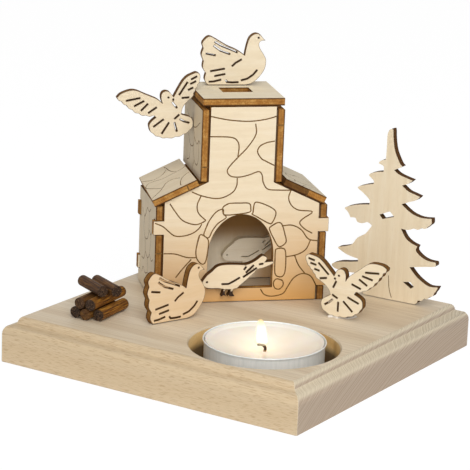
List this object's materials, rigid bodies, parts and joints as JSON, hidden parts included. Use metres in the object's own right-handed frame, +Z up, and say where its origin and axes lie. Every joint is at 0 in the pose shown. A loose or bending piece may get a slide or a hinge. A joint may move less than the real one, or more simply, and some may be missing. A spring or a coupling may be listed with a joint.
{
  "type": "wooden tealight holder",
  "caption": "Square moulded wooden block with a round tealight recess, a plywood chimney house, cut-out doves, a fir and a stack of logs.",
  "frame": {"origin": "middle of the block's underside", "axes": "+Z up; -Y is the front, along the block's diagonal, where the tealight stands and which the house faces; +X is the side with the fir"},
  "size_m": [0.1556, 0.1556, 0.1002],
  "materials": {
    "beech": "sanded, bare",
    "birch_plywood": "bare, laser-cut edges scorched brown",
    "stained_dowel": "stained and scorched",
    "aluminium_foil_cup": "drawn foil, satin",
    "tinplate": "plain",
    "paraffin_wax": "smooth, slightly translucent",
    "cotton_wick": "charred"
  },
  "bodies": {
    "holder": {"base_block": "beech", "front_panel": "birch_plywood", "back_panel": "birch_plywood", "left_wall": "birch_plywood", "right_wall": "birch_plywood", "tower_left_side": "birch_plywood", "tower_right_side": "birch_plywood", "left_roof": "birch_plywood", "right_roof": "birch_plywood", "tower_lid": "birch_plywood", "dove_on_lid": "birch_plywood", "dove_flying_left": "birch_plywood", "dove_pecking_front": "birch_plywood", "dove_pecking_inside": "birch_plywood", "dove_front_left": "birch_plywood", "dove_flying_right": "birch_plywood", "fir_tree": "birch_plywood", "log_1": "stained_dowel", "log_2": "stained_dowel", "log_3": "stained_dowel", "log_4": "stained_dowel", "log_5": "stained_dowel", "log_6": "stained_dowel", "log_7": "stained_dowel"},
    "tealight": {"tealight_cup": "aluminium_foil_cup", "wick_tab": "tinplate", "wax": "paraffin_wax", "wick": "cotton_wick"}
  },
  "joints": [
    {"name": "tealight_lift", "type": "slide", "parent": "holder", "child": "tealight", "axis": [0, 0, 1], "range_m": [0, 0.03]}
  ]
}
